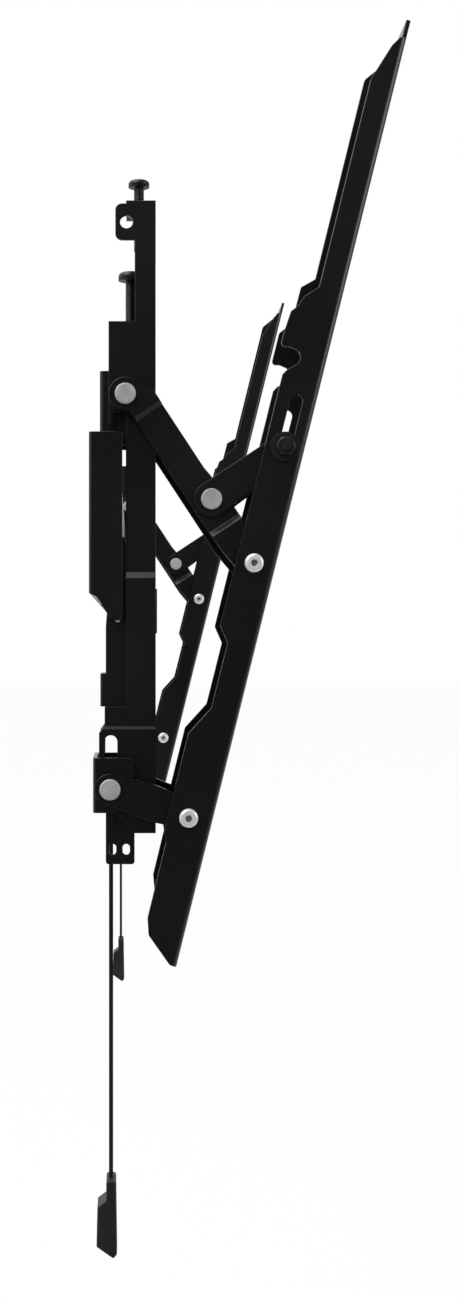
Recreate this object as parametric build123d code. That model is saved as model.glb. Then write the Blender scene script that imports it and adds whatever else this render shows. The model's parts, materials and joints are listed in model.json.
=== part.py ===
from build123d import *
import os
from math import acos, asin, atan2, cos, degrees, hypot, radians, sin, sqrt, tau

# Extending, tilting wall bracket for a flat screen: one wall plate carries two
# identical bracket assemblies. Each is hooked into the plate, folds out on
# pairs of flat links and is held by a spring catch on a pull cord.
# Units are millimetres. +Z is up, the wall is the plane Y = 0 and the screen
# side faces -Y. X runs along the wall. The origin is the centre of the wall
# plate's screw slots, on the wall. Places in a side view are written
# (out, up), where out is the distance from the wall.

# Overall layout
BRACKET_SPACING = 600.0
BRACKET_WIDTH = 50.0
SHEET = 2.0
LATCH_SHEET = 1.5

# Fits and clearances
RUNNING_FIT = 0.05
FACE_GAP = 0.1
SEAT_GAP = 0.3
CHANNEL_GAP = 0.4

# Side levels, inward from the outer face of a screen bracket's flange
LINK_LEVEL = SHEET + 2.0
JOGGLE_STEP = 2.2
RECESS_LEVEL = LINK_LEVEL + JOGGLE_STEP
MID_LEVEL = RECESS_LEVEL + SHEET + 3.4
TOP_LEVEL = MID_LEVEL - 2.0
LOW_LEVEL = MID_LEVEL - 2.0
FOOT_LEVEL = LOW_LEVEL - 1.0
CLEVIS_LEVEL = FOOT_LEVEL - SHEET
HANGER_LEVEL = MID_LEVEL + SHEET + 1.6
LATCH_LEVEL = LOW_LEVEL + SHEET + 0.6

# Linkage at rest, drawn out and tilted
TILT = 13.92
UPPER_PIVOT = (17.1, 67.3)
LOWER_PIVOT = (10.0, -116.4)
SCREEN_PIVOT = (76.5, -11.5)
ELBOW = (57.1, 18.4)
TENSION_ARM = 41.2

# Screen bracket, along its face from the foot and behind the face
SCREEN_LENGTH = 450.0
SCREEN_LIP = 1.4
PIVOT_ALONG = 188.5
PIVOT_BEHIND = 10.2
FOOT_PIVOT_ALONG = 67.1
FOOT_PIVOT_BEHIND = 11.2
SLOT_BEHIND = 9.2
TENSION_SLOT_WIDTH = 5.9
SLOT_MARGIN = 0.5
BEND_OUTER = 3.0
SCREEN_SLOT_WIDTH = 8.5
SCREEN_SLOT_LENGTH = 32.0
SCREEN_SLOT_PITCH = 50.0
SCREEN_SLOT_COUNT = 9
SCREEN_SLOT_FIRST = 25.0

# Links
LINK_OFFSET = 6.4
UPPER_LINK_HEAD = 7.8
UPPER_LINK_TAIL = 7.5
UPPER_LINK_BACK = -2.7
UPPER_LINK_FRONT = 11.9
ARM_HEAD = 8.1
ARM_TAIL = 6.8
LOWER_LINK_HEAD = 7.3
LOWER_LINK_TAIL = 6.8
OPEN_PIVOT_HOLE = 5.0
FIRST_JOGGLE = 11.4
SECOND_JOGGLE = 75.5

# Rivets, bolts and washers
RIVET_RADIUS = 3.0
RIVET_HEAD = 4.9
ELBOW_HEAD = 4.9
HEAD_THICKNESS = 1.6
RIVET_TAIL = 4.4
RIVET_TAIL_THICKNESS = 1.2
ELBOW_TAIL_THICKNESS = 1.0
BOLT_RADIUS = 2.5
BOLT_HEAD = 4.4
BOLT_HEAD_HEIGHT = 2.6
SOCKET_ACROSS = 3.0
SOCKET_DEPTH = 1.6
NUT_ACROSS = 8.0
NUT_HEIGHT = 1.6
TENSION_NUT_ACROSS = 8.0
TENSION_NUT_HEIGHT = 3.8
TENSION_STUD_END = 1.2
TENSION_WASHER = 6.9
WASHER_THICKNESS = 1.2
WIDE_WASHER = 6.9
WIDE_WASHER_THICKNESS = 0.8

# Wall plate
PLATE_OVERHANG = 16.0
PLATE_HALF = BRACKET_SPACING / 2 + PLATE_OVERHANG
PLATE_TOP = 50.5
PLATE_BOTTOM = -25.0
PLATE_DEPTH = 14.1
RAIL_TOP = 44.5
RAIL_BOTTOM = -37.6
END_LIP = 1.6
LAG_SPACING = 406.4
LAG_ROWS = 30.0
LAG_SLOT_LENGTH = 40.0
LAG_SLOT_WIDTH = 8.5
RAIL_WINDOW = (56.0, 44.0)
RAIL_WINDOW_RADIUS = 5.0
RAIL_WINDOW_PITCH = 76.0
CABLE_WINDOW = (96.0, 44.0)
STRAP_PLACE = 60.0
STRAP_WIDTH = 14.0

# Hanger and height screw
HANGER_BACK = 5.0
HANGER_FRONT = 22.3
HANGER_TOP = 79.8
HANGER_TIP = 8.0
JACK_OUT = 19.5
SCREW_RADIUS = 2.5
JACK_HEAD = 5.8
JACK_HEAD_BOTTOM = 124.4
JACK_HEAD_HEIGHT = 3.8
SHELF_TOP = 102.5

# Wall side bracket
CHANNEL_FRONT = 31.3
CHANNEL_TOP = 158.5
CHANNEL_BOTTOM = -137.2
CHANNEL_BACK = 17.3
TOP_BACK = 17.4
NECK_BACK = 21.5
SHOULDER_BACK = 9.2
SHOULDER_TIP = 54.0
SHOULDER_BOTTOM = 59.7
SHOULDER_TIP_WIDTH = 2.2
EAR_BACK = 12.4
EAR_TOP = 157.1
EAR_BOTTOM = 140.1
EAR_HOLE = (17.6, 148.5)
EAR_HOLE_RADIUS = 3.0
UPPER_STEP = 130.2
MIDDLE_STEP = -16.6
LOWER_STEP = -88.0
STEP_RISE = 3.0
WEB_SLOT_WIDTH = 12.0
WEB_SLOT_UPPER = (32.0, 58.0)
WEB_SLOT_LOWER = (-108.0, 28.0)
TOP_SCREW_OUT = 23.5
TOP_SCREW_HEAD = 5.0
TOP_SCREW_HEAD_BOTTOM = 168.9
TOP_SCREW_HEAD_HEIGHT = 3.1
TOP_SCREW_TIP = 138.0
PAD_TOP = -22.9
PAD_BOTTOM = -43.8
PAD_THICKNESS = 0.7
CLEVIS_BACK = 2.0
CLEVIS_FRONT = 21.2
CLEVIS_TOP = -101.9
CLEVIS_BOTTOM = -127.6
WINDOW_CENTRE = 10.3
WINDOW_WIDTH = 6.1
WINDOW_TOP = -91.5
WINDOW_BOTTOM = -105.5

# Spring catch
LATCH_BACK = 7.9
LATCH_FRONT = 21.4
LATCH_TIP = -24.0
LATCH_FOOT = -152.2
LATCH_FAR_FOOT = -136.0
LATCH_BRIDGE = 12.0
LATCH_TAB_BACK = 5.3
LATCH_TAB_TOP = -62.7
LATCH_TAB_BOTTOM = -78.2
TONGUE_OUTS = (14.5, 17.0)
TONGUE_TOP = 1.3
LEDGE_GAP = 1.0
SPRING_OUT = 15.6
SPRING_RADIUS = 3.6
SPRING_WIRE = 0.5
SPRING_TURNS = 5
SPRING_SEAT = -85.0
CORD_SLOT = (3.4, 5.1)
CORD_SLOT_UP = -145.2
CORD_SLOT_OUTS = (11.1, 17.5)

# Pull cord and its grip
CORD_OUT = 10.2
CORD_RADIUS = 1.0
CORD_PIN_UP = -131.0
CORD_PIN_RADIUS = 1.2
CRIMP_RADIUS = 2.4
CRIMP_TOP = -128.4
CORD_TOP = -134.5
CORD_BOTTOM = -303.0
GRIP_WIDTH = 14.0
GRIP_LENGTH = 36.7

HALF_WIDTH = BRACKET_WIDTH / 2
HUGE = 1200.0


def unit_pair(angle):
    """Unit vectors along and behind a face that leans out by an angle in degrees."""
    lean = radians(angle)
    return (sin(lean), cos(lean)), (-cos(lean), sin(lean))


ALONG, BEHIND = unit_pair(TILT)


def on_screen_bracket(along, behind, base=(0.0, 0.0)):
    """A place on the tilted screen bracket, as (out, up)."""
    out = base[0] + along * ALONG[0] + behind * BEHIND[0]
    up = base[1] + along * ALONG[1] + behind * BEHIND[1]
    return out, up


PIVOT_SHIFT = on_screen_bracket(PIVOT_ALONG, PIVOT_BEHIND)
SCREEN_FOOT = (SCREEN_PIVOT[0] - PIVOT_SHIFT[0], SCREEN_PIVOT[1] - PIVOT_SHIFT[1])
FOOT_PIVOT = on_screen_bracket(FOOT_PIVOT_ALONG, FOOT_PIVOT_BEHIND, SCREEN_FOOT)


def tension_place():
    """Where the tension stud sits along its slot, from the elbow and the arm's length."""
    out = ELBOW[0] - SCREEN_FOOT[0]
    up = ELBOW[1] - SCREEN_FOOT[1]
    elbow_along = out * ALONG[0] + up * ALONG[1]
    elbow_behind = out * BEHIND[0] + up * BEHIND[1]
    reach = sqrt(TENSION_ARM**2 - (elbow_behind - SLOT_BEHIND) ** 2)
    return elbow_along + reach


TENSION_ALONG = tension_place()
TENSION_STUD = on_screen_bracket(TENSION_ALONG, SLOT_BEHIND, SCREEN_FOOT)


def side_face(points, radii=0.0):
    """A closed side-view outline given as (out, up) points, as a face in the plane X = 0."""
    corners = [(-out, up) for out, up in points]
    path = FilletPolyline(*corners, radius=radii, close=True)
    return Plane.YZ * make_face(path)


def slab(face, start, end):
    """A side-view face thickened from one level across the bracket to another."""
    return Pos(start, 0, 0) * extrude(face, amount=end - start, dir=(1, 0, 0))


def front_face(points, radii=0.0):
    """A closed outline seen from the front, given as (across, up) points."""
    path = FilletPolyline(*points, radius=radii, close=True)
    return Plane.XZ * make_face(path)


def front_slab(face, near, far):
    """A front-view face thickened outwards from the wall between two distances."""
    return Pos(0, -near, 0) * extrude(face, amount=far - near, dir=(0, -1, 0))


def box_between(across, out, up):
    """A block between two levels across, two distances out and two heights."""
    size = (across[1] - across[0], out[1] - out[0], up[1] - up[0])
    centre = Pos(sum(across) / 2, -sum(out) / 2, sum(up) / 2)
    return centre * Box(*size)


def cross_pin(place, radius, start, end):
    """A round pin across the bracket at a side-view place."""
    disc = Pos(0, -place[0], place[1]) * (Plane.YZ * Circle(radius))
    return Pos(start, 0, 0) * extrude(disc, amount=end - start, dir=(1, 0, 0))


def hex_across(place, across_flats, start, end):
    """A hexagonal prism across the bracket at a side-view place."""
    hexagon = RegularPolygon(across_flats / 2, 6, major_radius=False)
    face = Pos(0, -place[0], place[1]) * (Plane.YZ * hexagon)
    return Pos(start, 0, 0) * extrude(face, amount=end - start, dir=(1, 0, 0))


def mirrored(solid):
    """The opposite side's copy of a piece of one bracket assembly."""
    return mirror(solid, about=Plane.YZ.offset(HALF_WIDTH))


def both_sides(solid):
    """A piece and its opposite copy, as separate solids of one group."""
    return Compound(children=[part_solid(solid), part_solid(mirrored(solid))])


def part_solid(shape):
    """The single solid of a shape, or a plain group when it has several."""
    solids = shape.solids()
    if len(solids) == 1:
        return solids[0]
    return Compound(children=list(solids))


def tapered_link(start, start_radius, end, end_radius):
    """A flat link outline: two round ends joined by their common tangents."""
    span_out = end[0] - start[0]
    span_up = end[1] - start[1]
    heading = atan2(span_up, span_out)
    spread = acos((start_radius - end_radius) / hypot(span_out, span_up))

    def rim(centre, radius, angle):
        return (-(centre[0] + radius * cos(angle)), centre[1] + radius * sin(angle))

    left = heading + spread
    right = heading - spread
    lines = [
        Line(rim(start, start_radius, left), rim(end, end_radius, left)),
        ThreePointArc(
            rim(end, end_radius, left),
            rim(end, end_radius, heading),
            rim(end, end_radius, right),
        ),
        Line(rim(end, end_radius, right), rim(start, start_radius, right)),
        ThreePointArc(
            rim(start, start_radius, right),
            rim(start, start_radius, heading + tau / 2),
            rim(start, start_radius, left),
        ),
    ]
    return Plane.YZ * make_face(lines)


def disc_at(place, radius):
    """A round side-view face at a place."""
    return Pos(0, -place[0], place[1]) * (Plane.YZ * Circle(radius))


def upper_link_frame():
    """Directions along and in front of the upper link, both as (out, up)."""
    span_out = SCREEN_PIVOT[0] - UPPER_PIVOT[0]
    span_up = SCREEN_PIVOT[1] - UPPER_PIVOT[1]
    turn = asin(LINK_OFFSET / hypot(span_out, span_up))
    heading = atan2(span_up, span_out) - turn
    return (cos(heading), sin(heading)), (-sin(heading), cos(heading))


LINK_ALONG, LINK_FRONT = upper_link_frame()


def on_upper_link(along, front):
    """A place on the upper link, measured from its wall pivot, as (out, up)."""
    out = UPPER_PIVOT[0] + along * LINK_ALONG[0] + front * LINK_FRONT[0]
    up = UPPER_PIVOT[1] + along * LINK_ALONG[1] + front * LINK_FRONT[1]
    return out, up


def upper_link():
    """The long stamped link: round ends, and a middle pressed inwards behind the arm."""
    reach_out = SCREEN_PIVOT[0] - UPPER_PIVOT[0]
    reach_up = SCREEN_PIVOT[1] - UPPER_PIVOT[1]
    tail = reach_out * LINK_ALONG[0] + reach_up * LINK_ALONG[1]
    body = [
        on_upper_link(0, UPPER_LINK_BACK),
        on_upper_link(tail - 14, UPPER_LINK_BACK),
        on_upper_link(tail, LINK_OFFSET - UPPER_LINK_TAIL + 0.01),
        on_upper_link(tail, LINK_OFFSET + UPPER_LINK_TAIL - 0.01),
        on_upper_link(tail - 36, LINK_OFFSET + UPPER_LINK_TAIL - 0.3),
        on_upper_link(tail - 50, UPPER_LINK_FRONT),
        on_upper_link(6, UPPER_LINK_FRONT),
        on_upper_link(0, UPPER_LINK_HEAD - 0.2),
    ]
    outline = side_face(body) + disc_at(UPPER_PIVOT, UPPER_LINK_HEAD)
    outline = outline + disc_at(SCREEN_PIVOT, UPPER_LINK_TAIL)
    outline = outline - disc_at(UPPER_PIVOT, RIVET_RADIUS + RUNNING_FIT)
    outline = outline - disc_at(SCREEN_PIVOT, BOLT_RADIUS + RUNNING_FIT)
    outline = outline - disc_at(ELBOW, RIVET_RADIUS + RUNNING_FIT)
    bulk = slab(outline, LINK_LEVEL - 1, RECESS_LEVEL + SHEET + 1)
    return bulk & joggled_strip(tail)


def joggled_strip(tail):
    """The upper link's thickness along its length, stepping in and back out."""
    outer = [
        (LINK_LEVEL, -30.0),
        (LINK_LEVEL, FIRST_JOGGLE),
        (RECESS_LEVEL, FIRST_JOGGLE + JOGGLE_STEP),
        (RECESS_LEVEL, SECOND_JOGGLE),
        (LINK_LEVEL, SECOND_JOGGLE + JOGGLE_STEP),
        (LINK_LEVEL, tail + 30.0),
    ]
    inner = [(level + SHEET, along) for level, along in reversed(outer)]
    plane = Plane(
        origin=(0, -UPPER_PIVOT[0], UPPER_PIVOT[1]),
        x_dir=(1, 0, 0),
        z_dir=(0, -LINK_FRONT[0], LINK_FRONT[1]),
    )
    path = Polyline(*[(level, -along) for level, along in outer + inner], close=True)
    return extrude(plane * make_face(path), amount=40, both=True)


def tension_arm():
    """The flat arm from the upper link's elbow to the friction stud."""
    outline = tapered_link(ELBOW, ARM_HEAD, TENSION_STUD, ARM_TAIL)
    outline = outline - disc_at(ELBOW, RIVET_RADIUS + RUNNING_FIT)
    outline = outline - disc_at(TENSION_STUD, BOLT_RADIUS + RUNNING_FIT)
    return slab(outline, LINK_LEVEL, LINK_LEVEL + SHEET)


def lower_link():
    """The short link, cranked so that it clears the catch when the bracket folds."""
    out, up = LOWER_PIVOT
    crank = [
        (out + 0.5, up + 5.0),
        (out + 12.8, up + 4.8),
        (out + 19.8, up + 2.6),
        (out + 29.5, up - 1.3),
        (out + 36.3, up - 8.0),
        (out + 34.0, up - 18.0),
        (out + 20.7, up - 15.4),
        (out + 12.8, up - 12.7),
        (out + 0.1, up - 7.2),
    ]
    outline = tapered_link(LOWER_PIVOT, LOWER_LINK_HEAD, FOOT_PIVOT, LOWER_LINK_TAIL)
    outline = outline + side_face(crank)
    outline = outline - disc_at(LOWER_PIVOT, RIVET_RADIUS + RUNNING_FIT)
    outline = outline - disc_at(FOOT_PIVOT, OPEN_PIVOT_HOLE)
    return slab(outline, LINK_LEVEL, LINK_LEVEL + SHEET)


def domed_rivet(place, head_radius, tail_level, tail_thickness):
    """A rivet with a low outer head, ending in a formed tail at a level."""
    head_outer = LINK_LEVEL - FACE_GAP - HEAD_THICKNESS
    head = cross_pin(place, head_radius, head_outer, LINK_LEVEL - FACE_GAP)
    rim = head.faces().sort_by(Axis.X)[0].edges()
    head = fillet(rim, HEAD_THICKNESS * 0.5)
    shank = cross_pin(place, RIVET_RADIUS, LINK_LEVEL - FACE_GAP, tail_level)
    tail = cross_pin(place, RIVET_TAIL, tail_level, tail_level + tail_thickness)
    return head + shank + tail


def ring(place, outer, bore, start, end):
    """A plain washer or collar across the bracket."""
    return cross_pin(place, outer, start, end) - cross_pin(place, bore, start, end)


def upper_pivot_collar():
    """The collar that spaces the upper link's head from the wall side bracket."""
    start = LINK_LEVEL + SHEET + FACE_GAP
    return ring(UPPER_PIVOT, RIVET_HEAD, RIVET_RADIUS + RUNNING_FIT, start, MID_LEVEL)


def lower_pivot_washer():
    """The thin washer between the lower link and the clevis."""
    start = LINK_LEVEL + SHEET + FACE_GAP
    return ring(LOWER_PIVOT, RIVET_HEAD, RIVET_RADIUS + RUNNING_FIT, start, CLEVIS_LEVEL)


def socket_bolt(place):
    """A domed socket-head bolt through a screen bracket flange."""
    shank_end = LINK_LEVEL + SHEET + FACE_GAP + NUT_HEIGHT + WIDE_WASHER_THICKNESS
    head = cross_pin(place, BOLT_HEAD, -BOLT_HEAD_HEIGHT, 0)
    rim = head.faces().sort_by(Axis.X)[0].edges()
    head = fillet(rim, BOLT_HEAD_HEIGHT * 0.6)
    shank = cross_pin(place, BOLT_RADIUS, 0, shank_end)
    bottom = SOCKET_DEPTH - BOLT_HEAD_HEIGHT
    socket = hex_across(place, SOCKET_ACROSS, -BOLT_HEAD_HEIGHT - 1, bottom)
    return head + shank - socket


def pivot_spacer(place):
    """The spacer between a screen bracket flange and the link behind it."""
    return ring(
        place, TENSION_WASHER - 0.9, BOLT_RADIUS + RUNNING_FIT, SHEET, LINK_LEVEL - FACE_GAP
    )


def pivot_nut(place, level):
    """A thin hexagonal nut on a pivot bolt."""
    nut = hex_across(place, NUT_ACROSS, level, level + NUT_HEIGHT)
    return nut - cross_pin(place, BOLT_RADIUS + RUNNING_FIT, level, level + NUT_HEIGHT)


def wide_washer():
    """The wide washer that holds the lower link on the foot bolt."""
    start = LINK_LEVEL + SHEET + FACE_GAP
    end = start + WIDE_WASHER_THICKNESS
    return ring(FOOT_PIVOT, WIDE_WASHER, BOLT_RADIUS + RUNNING_FIT, start, end)


def tension_stud():
    """The stud pressed into the tension arm, running out through the slot."""
    tip = -FACE_GAP - WASHER_THICKNESS - TENSION_NUT_HEIGHT - TENSION_STUD_END
    return cross_pin(TENSION_STUD, BOLT_RADIUS, tip, LINK_LEVEL + SHEET)


def tension_washer():
    """The outer washer under the tension nut."""
    return ring(
        TENSION_STUD,
        TENSION_WASHER,
        BOLT_RADIUS + RUNNING_FIT,
        -FACE_GAP - WASHER_THICKNESS,
        -FACE_GAP,
    )


def tension_nut():
    """The hexagonal nut that sets the friction of the tilt."""
    outer = -FACE_GAP - WASHER_THICKNESS - TENSION_NUT_HEIGHT
    inner = -FACE_GAP - WASHER_THICKNESS
    nut = hex_across(TENSION_STUD, TENSION_NUT_ACROSS, outer, inner)
    corner = TENSION_NUT_ACROSS * 0.56
    crown = cross_pin(TENSION_STUD, corner, outer, inner)
    crown = chamfer(crown.faces().sort_by(Axis.X)[0].edges(), 0.7)
    return (nut & crown) - cross_pin(TENSION_STUD, BOLT_RADIUS + RUNNING_FIT, outer, inner)


def friction_disc():
    """The friction disc between the tension arm and the flange."""
    return ring(
        TENSION_STUD,
        ARM_TAIL - 0.4,
        BOLT_RADIUS + RUNNING_FIT,
        SHEET + FACE_GAP,
        LINK_LEVEL,
    )


def near_flange_points():
    """The near flange of the screen bracket, as (along, behind) points with corner radii."""
    return [
        (-SCREEN_LIP, 0.0, 0.0),
        (-0.9, 3.4, 2.0),
        (10.1, 16.1, 2.0),
        (17.7, 18.5, 2.5),
        (53.5, 18.6, 1.5),
        (58.5, 20.7, 1.5),
        (105.0, 20.7, 2.5),
        (118.9, 13.2, 2.5),
        (149.8, 13.1, 2.0),
        (156.7, 18.4, 2.0),
        (276.2, 18.4, 1.0),
        (278.6, 17.0, 1.0),
        (283.4, 12.0, 3.5),
        (288.4, 12.6, 3.5),
        (289.4, 18.4, 1.4),
        (288.4, 22.4, 1.8),
        (295.8, 22.4, 1.0),
        (305.5, 21.6, 1.0),
        (308.5, 19.0, 1.0),
        (313.4, 17.4, 1.0),
        (319.4, 11.6, 1.0),
        (418.4, 11.6, 3.0),
        (435.6, 5.9, 1.5),
        (440.0, 3.2, 0.5),
        (441.2, 0.0, 0.0),
    ]


def far_flange_points():
    """The far flange: as the near one in the middle, with its foot and top set higher."""
    foot = [
        (-SCREEN_LIP, 0.0, 0.0),
        (-0.9, 3.2, 0.5),
        (12.4, 3.2, 1.0),
        (24.0, 16.1, 2.0),
        (31.0, 18.5, 2.5),
    ]
    top = [
        (304.5, 22.4, 1.5),
        (308.5, 19.4, 1.0),
        (313.0, 17.6, 1.0),
        (329.1, 17.4, 1.0),
        (334.6, 11.5, 1.0),
        (435.6, 11.6, 3.0),
        (446.5, 3.4, 1.0),
        (SCREEN_LENGTH, 2.6, 0.0),
        (SCREEN_LENGTH, 0.0, 0.0),
    ]
    return foot + near_flange_points()[4:16] + top


def flange_face(points):
    """A flange outline with the slot and pivot holes, still upright at the origin."""
    outline = side_face([(-behind, along) for along, behind, _ in points], [r for *_, r in points])
    crank = hypot(ELBOW[0] - SCREEN_PIVOT[0], ELBOW[1] - SCREEN_PIVOT[1])
    slot_low = TENSION_ALONG - SLOT_MARGIN
    slot_high = PIVOT_ALONG + crank + TENSION_ARM + SLOT_MARGIN
    slot = tapered_link(
        (-SLOT_BEHIND, slot_low),
        TENSION_SLOT_WIDTH / 2,
        (-SLOT_BEHIND, slot_high),
        TENSION_SLOT_WIDTH / 2 - 0.001,
    )
    pivot = disc_at((-PIVOT_BEHIND, PIVOT_ALONG), BOLT_RADIUS + RUNNING_FIT)
    foot = disc_at((-FOOT_PIVOT_BEHIND, FOOT_PIVOT_ALONG), BOLT_RADIUS + RUNNING_FIT)
    return outline - slot - pivot - foot


def screen_bracket():
    """The long folded channel that bolts to the back of the screen."""
    deep = 30.0
    section = [
        (0, deep),
        (0, 0),
        (BRACKET_WIDTH, 0),
        (BRACKET_WIDTH, deep),
        (BRACKET_WIDTH - SHEET, deep),
        (BRACKET_WIDTH - SHEET, SHEET),
        (SHEET, SHEET),
        (SHEET, deep),
    ]
    inner = BEND_OUTER - SHEET
    radii = [0, BEND_OUTER, BEND_OUTER, 0, 0, inner, inner, 0]
    profile = make_face(FilletPolyline(*section, radius=radii, close=True))
    channel = Pos(0, 0, -SCREEN_LIP) * extrude(profile, amount=SCREEN_LENGTH + SCREEN_LIP)
    near = slab(flange_face(near_flange_points()), -1, BEND_OUTER)
    far = slab(flange_face(far_flange_points()), BRACKET_WIDTH - BEND_OUTER, BRACKET_WIDTH + 1)
    web = box_between(
        (BEND_OUTER, BRACKET_WIDTH - BEND_OUTER), (-SHEET - 1, 1), (-SCREEN_LIP, SCREEN_LENGTH)
    )
    keep = near + far + web
    bracket = channel & keep
    bracket = bracket - screen_slots()
    foot = Pos(0, -SCREEN_FOOT[0], SCREEN_FOOT[1])
    return foot * Rot(X=TILT) * bracket


def screen_slots():
    """The row of long slots in the screen face, for the common hole patterns."""
    straight = SCREEN_SLOT_LENGTH - SCREEN_SLOT_WIDTH
    slot = Plane.XZ * SlotCenterToCenter(straight, SCREEN_SLOT_WIDTH, rotation=90)
    cutter = extrude(slot, amount=SHEET * 2, both=True)
    cuts = []
    for step in range(SCREEN_SLOT_COUNT):
        up = SCREEN_SLOT_FIRST + step * SCREEN_SLOT_PITCH
        cuts.append(Pos(HALF_WIDTH, 0, up) * cutter)
    return Compound(children=[part_solid(cut) for cut in cuts])


def channel_levels():
    """How far in each side wall of the wall side bracket lies, from its top down."""
    half = STEP_RISE / 2
    return [
        (TOP_LEVEL, CHANNEL_TOP),
        (TOP_LEVEL, UPPER_STEP + half),
        (MID_LEVEL, UPPER_STEP - half),
        (MID_LEVEL, MIDDLE_STEP + half),
        (LOW_LEVEL, MIDDLE_STEP - half),
        (LOW_LEVEL, LOWER_STEP + half / 2),
        (FOOT_LEVEL, LOWER_STEP - half / 2),
        (FOOT_LEVEL, CHANNEL_BOTTOM),
    ]


def channel_top_points(has_ear):
    """The side wall's rear outline above the shoulder, with or without the ear."""
    neck = [(NECK_BACK, SHELF_TOP, 0.0), (SHOULDER_BACK, SHELF_TOP, 0.0)]
    if not has_ear:
        return [(CHANNEL_FRONT, CHANNEL_TOP, 0.0), (NECK_BACK, CHANNEL_TOP, 0.0)] + neck
    ear = [
        (CHANNEL_FRONT, CHANNEL_TOP, 0.0),
        (TOP_BACK, CHANNEL_TOP, 0.0),
        (TOP_BACK, EAR_TOP, 0.0),
        (EAR_BACK, EAR_TOP, 3.0),
        (EAR_BACK, EAR_BOTTOM, 3.0),
        (NECK_BACK, EAR_BOTTOM, 0.0),
    ]
    return ear + neck


def channel_side_face(has_ear):
    """The side wall's outline: ear, hook shoulder, narrow middle and clevis foot."""
    tip_front = SHOULDER_BACK + SHOULDER_TIP_WIDTH
    points = channel_top_points(has_ear) + [
        (SHOULDER_BACK, SHOULDER_TIP, 0.8),
        (tip_front, SHOULDER_TIP, 0.8),
        (tip_front, SHOULDER_BOTTOM, 1.0),
        (CHANNEL_BACK, SHOULDER_BOTTOM, 0.0),
        (CHANNEL_BACK, LATCH_TAB_BOTTOM, 0.0),
        (7.4, LATCH_TAB_BOTTOM, 0.0),
        (7.4, -86.7, 1.0),
        (4.8, -90.4, 1.0),
        (4.8, CLEVIS_BOTTOM + 1, 0.0),
        (11.5, CLEVIS_BOTTOM + 1, 0.0),
        (20.9, CHANNEL_BOTTOM, 0.5),
        (29.4, CHANNEL_BOTTOM, 1.0),
        (CHANNEL_FRONT, CHANNEL_BOTTOM + 3.2, 1.0),
    ]
    outline = side_face([(out, up) for out, up, _ in points], [r for *_, r in points])
    if has_ear:
        outline = outline - disc_at(EAR_HOLE, EAR_HOLE_RADIUS)
    outline = outline - disc_at(UPPER_PIVOT, RIVET_RADIUS + RUNNING_FIT)
    outline = outline - disc_at(LOWER_PIVOT, RIVET_RADIUS + RUNNING_FIT)
    return outline - arched_window()


def arched_window():
    """The round-ended window above the lower pivot."""
    radius = WINDOW_WIDTH / 2
    return tapered_link(
        (WINDOW_CENTRE, WINDOW_TOP - radius),
        radius,
        (WINDOW_CENTRE, WINDOW_BOTTOM + radius),
        radius - 0.001,
    )


def wall_side_bracket():
    """The folded channel that hangs on the plate and carries both link pivots."""
    outer = channel_levels()
    inner = [(level + SHEET, up) for level, up in reversed(outer)]
    strip = front_slab(front_face(outer + inner), 0, CHANNEL_FRONT)
    near = slab(channel_side_face(True), 0, HALF_WIDTH) & strip
    far = mirrored(slab(channel_side_face(False), 0, HALF_WIDTH) & strip)
    across = [(BRACKET_WIDTH - level, up) for level, up in reversed(outer)]
    web = front_slab(front_face(outer + across), CHANNEL_FRONT - SHEET, CHANNEL_FRONT)
    bracket = near + far + web
    bracket = bracket + top_flap() + jack_shelf() + spring_seat()
    return bracket - web_openings()


def top_flap():
    """The folded top with the threaded hole of the top screw."""
    start = TOP_LEVEL + SHEET - 0.5
    flap = box_between(
        (start, BRACKET_WIDTH - start),
        (TOP_BACK, CHANNEL_FRONT - 0.5),
        (CHANNEL_TOP - SHEET, CHANNEL_TOP),
    )
    hole = Pos(HALF_WIDTH, -TOP_SCREW_OUT, CHANNEL_TOP)
    return flap - hole * Cylinder(SCREW_RADIUS + RUNNING_FIT, SHEET * 3)


def jack_shelf():
    """The inner shelf that the height screw is threaded through."""
    start = MID_LEVEL + SHEET - 0.5
    shelf = box_between(
        (start, BRACKET_WIDTH - start),
        (SHOULDER_BACK, CHANNEL_FRONT - 0.5),
        (SHELF_TOP - SHEET, SHELF_TOP),
    )
    hole = Pos(HALF_WIDTH, -JACK_OUT, SHELF_TOP)
    return shelf - hole * Cylinder(SCREW_RADIUS + RUNNING_FIT, SHEET * 3)


def spring_seat():
    """The tongue folded back from the channel's front that the catch spring stands on."""
    reach = SPRING_RADIUS + SPRING_WIRE + 1.0
    return box_between(
        (HALF_WIDTH - reach, HALF_WIDTH + reach),
        (SPRING_OUT - reach, CHANNEL_FRONT - 0.5),
        (SPRING_SEAT - SHEET, SPRING_SEAT),
    )


def web_openings():
    """Two long openings in the front of the channel, above and below the middle."""
    cutters = []
    for centre, length in (WEB_SLOT_UPPER, WEB_SLOT_LOWER):
        slot = SlotCenterToCenter(length - WEB_SLOT_WIDTH, WEB_SLOT_WIDTH, rotation=90)
        face = Pos(HALF_WIDTH, 0, centre) * (Plane.XZ * slot)
        cutters.append(front_slab(face, CHANNEL_FRONT - SHEET - 0.5, CHANNEL_FRONT + 3))
    return Compound(children=[part_solid(cutter) for cutter in cutters])


def bumper_pad():
    """The thin rubber pad that the folded screen bracket closes against."""
    return box_between(
        (LOW_LEVEL + 5, BRACKET_WIDTH - LOW_LEVEL - 5),
        (CHANNEL_FRONT, CHANNEL_FRONT + PAD_THICKNESS),
        (PAD_BOTTOM, PAD_TOP),
    )


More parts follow.
